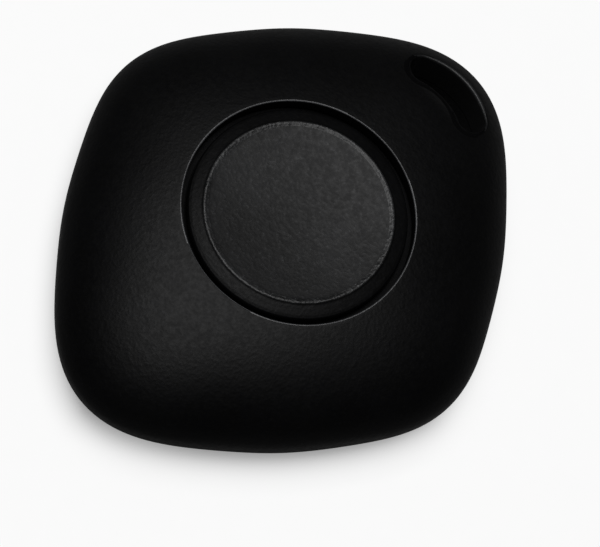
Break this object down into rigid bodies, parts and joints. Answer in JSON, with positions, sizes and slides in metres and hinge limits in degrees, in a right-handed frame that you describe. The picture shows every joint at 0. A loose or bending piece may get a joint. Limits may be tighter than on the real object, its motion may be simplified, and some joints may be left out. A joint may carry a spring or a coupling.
{
  "type": "key finder",
  "caption": "Pebble-shaped key finder with a round push button, a key ring slot in one corner and a twist-off coin cell door.",
  "frame": {"origin": "centre of the flat rear face that the finder lies on", "axes": "+Z out through the button, +Y towards the corner with the key ring slot, +X to the right seen from the button side"},
  "size_m": [0.0406, 0.0468, 0.0103],
  "materials": {
    "case_plastic": "fine spark-eroded texture, near-black",
    "button_plastic": "fine spark-eroded texture, slightly lighter near-black",
    "silicone": "soft, matte, translucent grey",
    "seal_rubber": "satin red-brown rubber",
    "cell_steel": "bright nickel-plated steel with fine turning marks",
    "cell_insulator": "plain, translucent off-white",
    "holder_plastic": "plain moulded, dark grey",
    "contact_brass": "gold-plated spring metal",
    "board": "green solder mask with copper traces and pads",
    "screw_steel": "zinc-plated",
    "switch_plastic": "plain moulded, black",
    "spring_steel": "bright rolled sheet",
    "plunger_plastic": "plain moulded, ivory",
    "chip_resin": "moulded resin, matte black",
    "can_metal": "bright lid over a ceramic base",
    "ceramic_white": "fired ceramic with tinned ends",
    "ferrite": "dull ferrite with tinned ends",
    "ceramic_tan": "fired ceramic with tinned ends",
    "resistor_black": "glazed film over white ceramic, with tinned ends",
    "copper": "enamelled copper wire",
    "foam": "closed-cell foam",
    "mesh_cloth": "fine woven acoustic mesh"
  },
  "bodies": {
    "case": {"front_cover": "case_plastic", "rear_cover": "case_plastic", "cell_can": "cell_steel", "cell_gasket": "cell_insulator", "cell_cap": "cell_steel", "cell_holder": "holder_plastic", "positive_contact": "contact_brass", "negative_contact": "contact_brass", "circuit_board": "board", "board_screws": "screw_steel", "switch_frame": "switch_plastic", "switch_terminals": "contact_brass", "switch_dome": "spring_steel", "switch_cover": "spring_steel", "bluetooth_chip": "chip_resin", "main_crystal": "can_metal", "clock_crystal": "can_metal", "chip_antenna": "ceramic_white", "inductor": "ferrite", "capacitors": "ceramic_tan", "resistors": "resistor_black", "buzzer_case": "switch_plastic", "buzzer_core": "screw_steel", "buzzer_coil": "copper", "buzzer_magnet": "ferrite", "buzzer_plate": "spring_steel", "buzzer_gasket": "foam", "sound_mesh": "mesh_cloth"},
    "button_cap": {"button": "button_plastic", "button_pad": "silicone"},
    "plunger": {"switch_plunger": "plunger_plastic"},
    "door": {"battery_door": "case_plastic", "door_seal": "seal_rubber"}
  },
  "joints": [
    {"name": "button_press", "type": "slide", "parent": "case", "child": "button_cap", "axis": [0, 0, -1], "range_m": [0, 0.0003], "stiffness_N_per_m": 400, "springref_m": -0.0003, "deforming": ["switch_dome"]},
    {"name": "plunger_press", "type": "slide", "parent": "case", "child": "plunger", "axis": [0, 0, -1], "range_m": [0, 0.0003]},
    {"name": "door_twist", "type": "hinge", "parent": "case", "child": "door", "pos_m": [0, 0, 0], "axis": [0, 0, -1], "range_deg": [0, 30]}
  ],
  "couplings": [
    {"joint": "plunger_press", "follows": "button_press", "ratio": 1}
  ]
}
